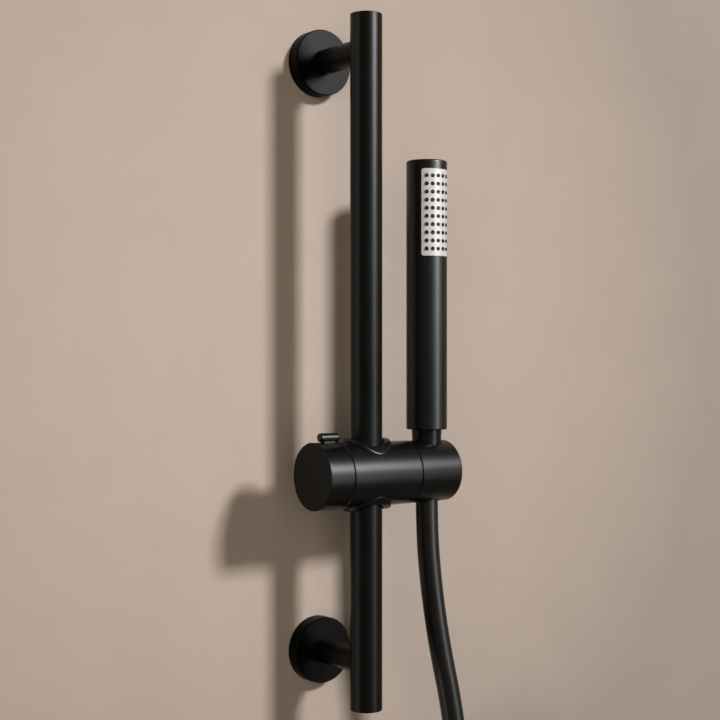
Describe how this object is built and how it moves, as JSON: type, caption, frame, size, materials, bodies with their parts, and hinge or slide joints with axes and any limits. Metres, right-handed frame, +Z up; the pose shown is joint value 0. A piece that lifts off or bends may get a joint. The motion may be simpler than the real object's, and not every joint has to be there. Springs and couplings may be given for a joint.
{
  "type": "shower slide rail",
  "caption": "Round wall rail on standoff posts with a clamping slider, a tilting cone holder, a slim hand shower with a long spray face and a smooth hose.",
  "frame": {"origin": "midway between the upper and lower wall fixings, on the wall plane", "axes": "+X to the right along the slider, +Y into the wall, +Z up along the rail"},
  "size_m": [0.3179, 0.0955, 0.7872],
  "materials": {
    "black_metal": "satin black powder coat",
    "black_plastic": "satin moulded",
    "white_plastic": "satin moulded",
    "black_rubber": "smooth, satin",
    "steel": "machined",
    "brass": "turned",
    "inner_plastic": "moulded"
  },
  "bodies": {
    "wall_rail": {"rail_tube": "black_metal", "rail_top_plug": "black_plastic", "rail_bottom_plug": "black_plastic", "upper_wall_plate": "steel", "upper_rose": "black_metal", "upper_post": "black_metal", "upper_grub_screw": "steel", "upper_post_bolt": "steel", "upper_rail_nut": "brass", "lower_wall_plate": "steel", "lower_rose": "black_metal", "lower_post": "black_metal", "lower_grub_screw": "steel", "lower_post_bolt": "steel", "lower_rail_nut": "brass"},
    "slider": {"slider_body": "black_metal", "upper_rail_bush": "black_plastic", "lower_rail_bush": "black_plastic", "clamp_insert": "brass", "hose_tube": "black_rubber", "hose_coil": "black_rubber", "hose_tail": "black_rubber", "coil_tie": "black_plastic", "outlet_ferrule": "black_metal", "outlet_nut": "black_metal", "outlet_washer": "black_rubber"},
    "knob": {"knob": "black_metal", "lever": "black_metal", "clamp_screw": "steel", "knob_washer": "inner_plastic"},
    "shoe": {"clamp_shoe": "inner_plastic"},
    "holder": {"holder": "black_metal", "friction_ring": "black_rubber", "pivot_washer": "steel", "pivot_screw": "steel", "handset_body": "black_plastic", "nozzle_plate": "white_plastic", "nozzle_mat": "black_rubber", "spray_chamber": "inner_plastic", "inlet_connector": "brass", "flow_disc": "inner_plastic", "cone_nut": "black_metal", "inlet_washer": "black_rubber", "hose_stem": "brass"}
  },
  "joints": [
    {"name": "slider_height", "type": "slide", "parent": "wall_rail", "child": "slider", "axis": [0, 0, 1], "range_m": [-0.105, 0.288]},
    {"name": "knob_turn", "type": "hinge", "parent": "slider", "child": "knob", "pos_m": [-0.0393, -0.0695, -0.0916], "axis": [1, 0, 0], "range_deg": [0, 90]},
    {"name": "shoe_travel", "type": "slide", "parent": "slider", "child": "shoe", "axis": [-1, 0, 0], "range_m": [0, 0.00062]},
    {"name": "holder_tilt", "type": "hinge", "parent": "slider", "child": "holder", "pos_m": [0.0371, -0.0695, -0.0916], "axis": [1, 0, 0], "range_deg": [-10, 45], "deforming": ["hose_tube"]}
  ],
  "couplings": [
    {"joint": "shoe_travel", "follows": "knob_turn", "m_per_rad": 0.00038197}
  ]
}
